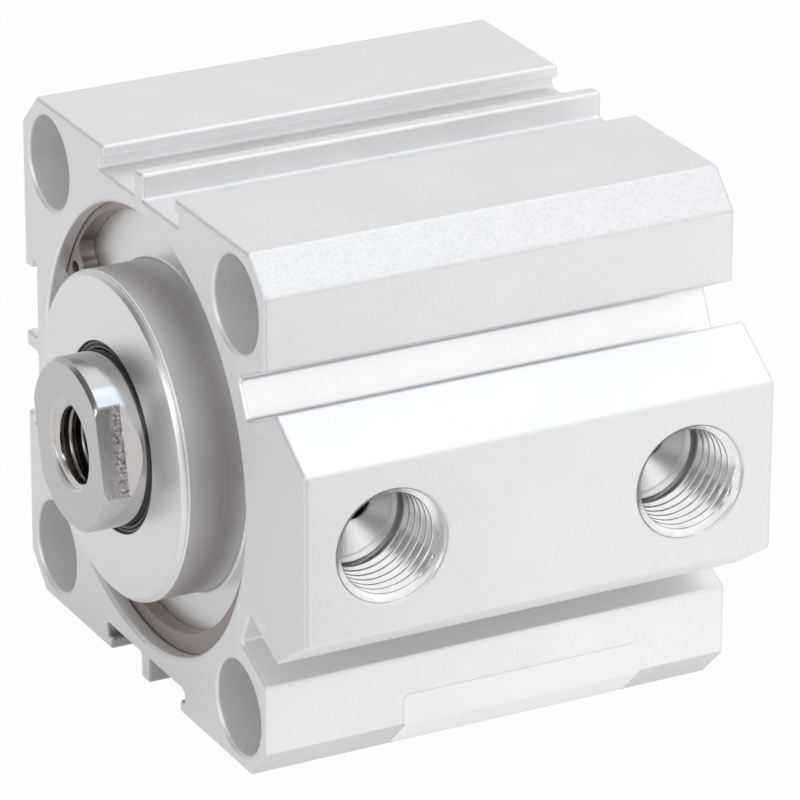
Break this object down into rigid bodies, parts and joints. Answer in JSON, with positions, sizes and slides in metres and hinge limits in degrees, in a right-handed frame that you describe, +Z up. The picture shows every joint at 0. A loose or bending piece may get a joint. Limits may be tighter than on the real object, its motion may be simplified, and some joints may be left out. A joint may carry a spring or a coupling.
{
  "type": "compact pneumatic cylinder",
  "caption": "Compact double-acting air cylinder: square extruded barrel with lipped side channels, sensor slots, a ported boss, ring-held covers and a short chromed rod with spanner flats.",
  "frame": {"origin": "centre of the rear mounting face, on the bore axis", "axes": "+X along the bore towards the rod end, +Y towards the port boss, +Z up"},
  "size_m": [0.067, 0.0715, 0.062],
  "materials": {
    "anodised_body": "fine blasted and clear anodised, satin",
    "turned_aluminium": "turned, fine lines round the axis",
    "ring_steel": "phosphated spring steel, dull",
    "rod_chrome": "ground and hard chromed",
    "black_rubber": "smooth black rubber, lightly greased",
    "bush_bronze": "bored bronze",
    "guide_plastic": "dark filled plastic strip",
    "magnet_ferrite": "dark sintered ring",
    "screw_steel": "blackened steel",
    "label_foil": "bare pale foil"
  },
  "bodies": {
    "cylinder_body": {"barrel": "anodised_body", "front_cover": "turned_aluminium", "front_cover_oring": "black_rubber", "rod_bush": "bush_bronze", "rod_seal": "black_rubber", "front_retaining_ring": "ring_steel", "rear_cover": "turned_aluminium", "rear_cover_oring": "black_rubber", "rear_retaining_ring": "ring_steel", "name_label": "label_foil"},
    "seal_set": {"piston_seal": "black_rubber", "wear_ring": "guide_plastic"},
    "rod": {"piston_rod": "rod_chrome", "rod_oring": "black_rubber", "piston": "turned_aluminium", "magnet_holder": "turned_aluminium", "magnet_washer": "black_rubber", "magnet": "magnet_ferrite", "piston_screw": "screw_steel", "front_bumper": "black_rubber", "rear_bumper": "black_rubber"}
  },
  "joints": [
    {"name": "rod_slide", "type": "slide", "parent": "cylinder_body", "child": "seal_set", "axis": [1, 0, 0], "range_m": [0, 0.02]},
    {"name": "rod_swivel", "type": "hinge", "parent": "seal_set", "child": "rod", "pos_m": [0, 0, 0], "axis": [1, 0, 0], "continuous": true}
  ]
}
